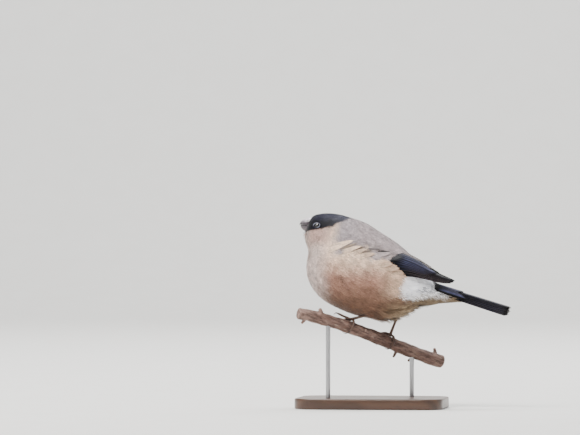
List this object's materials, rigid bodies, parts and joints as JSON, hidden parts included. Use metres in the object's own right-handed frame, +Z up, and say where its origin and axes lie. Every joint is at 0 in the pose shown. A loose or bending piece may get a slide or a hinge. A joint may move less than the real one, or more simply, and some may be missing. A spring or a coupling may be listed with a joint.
{
  "type": "bird model",
  "caption": "Life-size still model of a perched female bullfinch, plump with a stubby bill and folded wings, on a cut branch held above a flat base.",
  "frame": {"origin": "centre of the underside of the stand's base", "axes": "+Z up, the bird faces -X and its middle plane is Y = 0; its left side is on -Y"},
  "size_m": [0.1413, 0.064, 0.1285],
  "materials": {
    "cap_plumage": "soft black feathers with a faint blue sheen",
    "grey_plumage": "soft grey-brown feathers",
    "pink_plumage": "soft pinkish buff feathers",
    "white_plumage": "soft white feathers",
    "flight_feathers": "glossy blue-black vanes",
    "bill": "dark horn, half glossy",
    "eye": "wet dark eye",
    "leg": "scaly dark brownish pink skin",
    "claw": "dark horn",
    "bark": "rough reddish grey bark",
    "stand_wood": "dark satin varnish",
    "stand_steel": "satin"
  },
  "bodies": {
    "root": {"bill_lower": "bill", "bill_upper": "bill", "claw_left_hind": "claw", "claw_left_inner": "claw", "claw_left_middle": "claw", "claw_left_outer": "claw", "claw_right_hind": "claw", "claw_right_inner": "claw", "claw_right_middle": "claw", "claw_right_outer": "claw", "eye_left": "eye", "eye_right": "eye", "foot_left": "leg", "foot_right": "leg", "head": "cap_plumage", "neck": "grey_plumage", "perch": "bark", "rump": "white_plumage", "stand_base": "stand_wood", "stand_rod_front": "stand_steel", "stand_rod_rear": "stand_steel", "tail": "flight_feathers", "tarsus_left": "leg", "tarsus_right": "leg", "thigh_left": "pink_plumage", "thigh_right": "pink_plumage", "torso": "pink_plumage", "wing_left": "flight_feathers", "wing_right": "flight_feathers"}
  },
  "joints": []
}
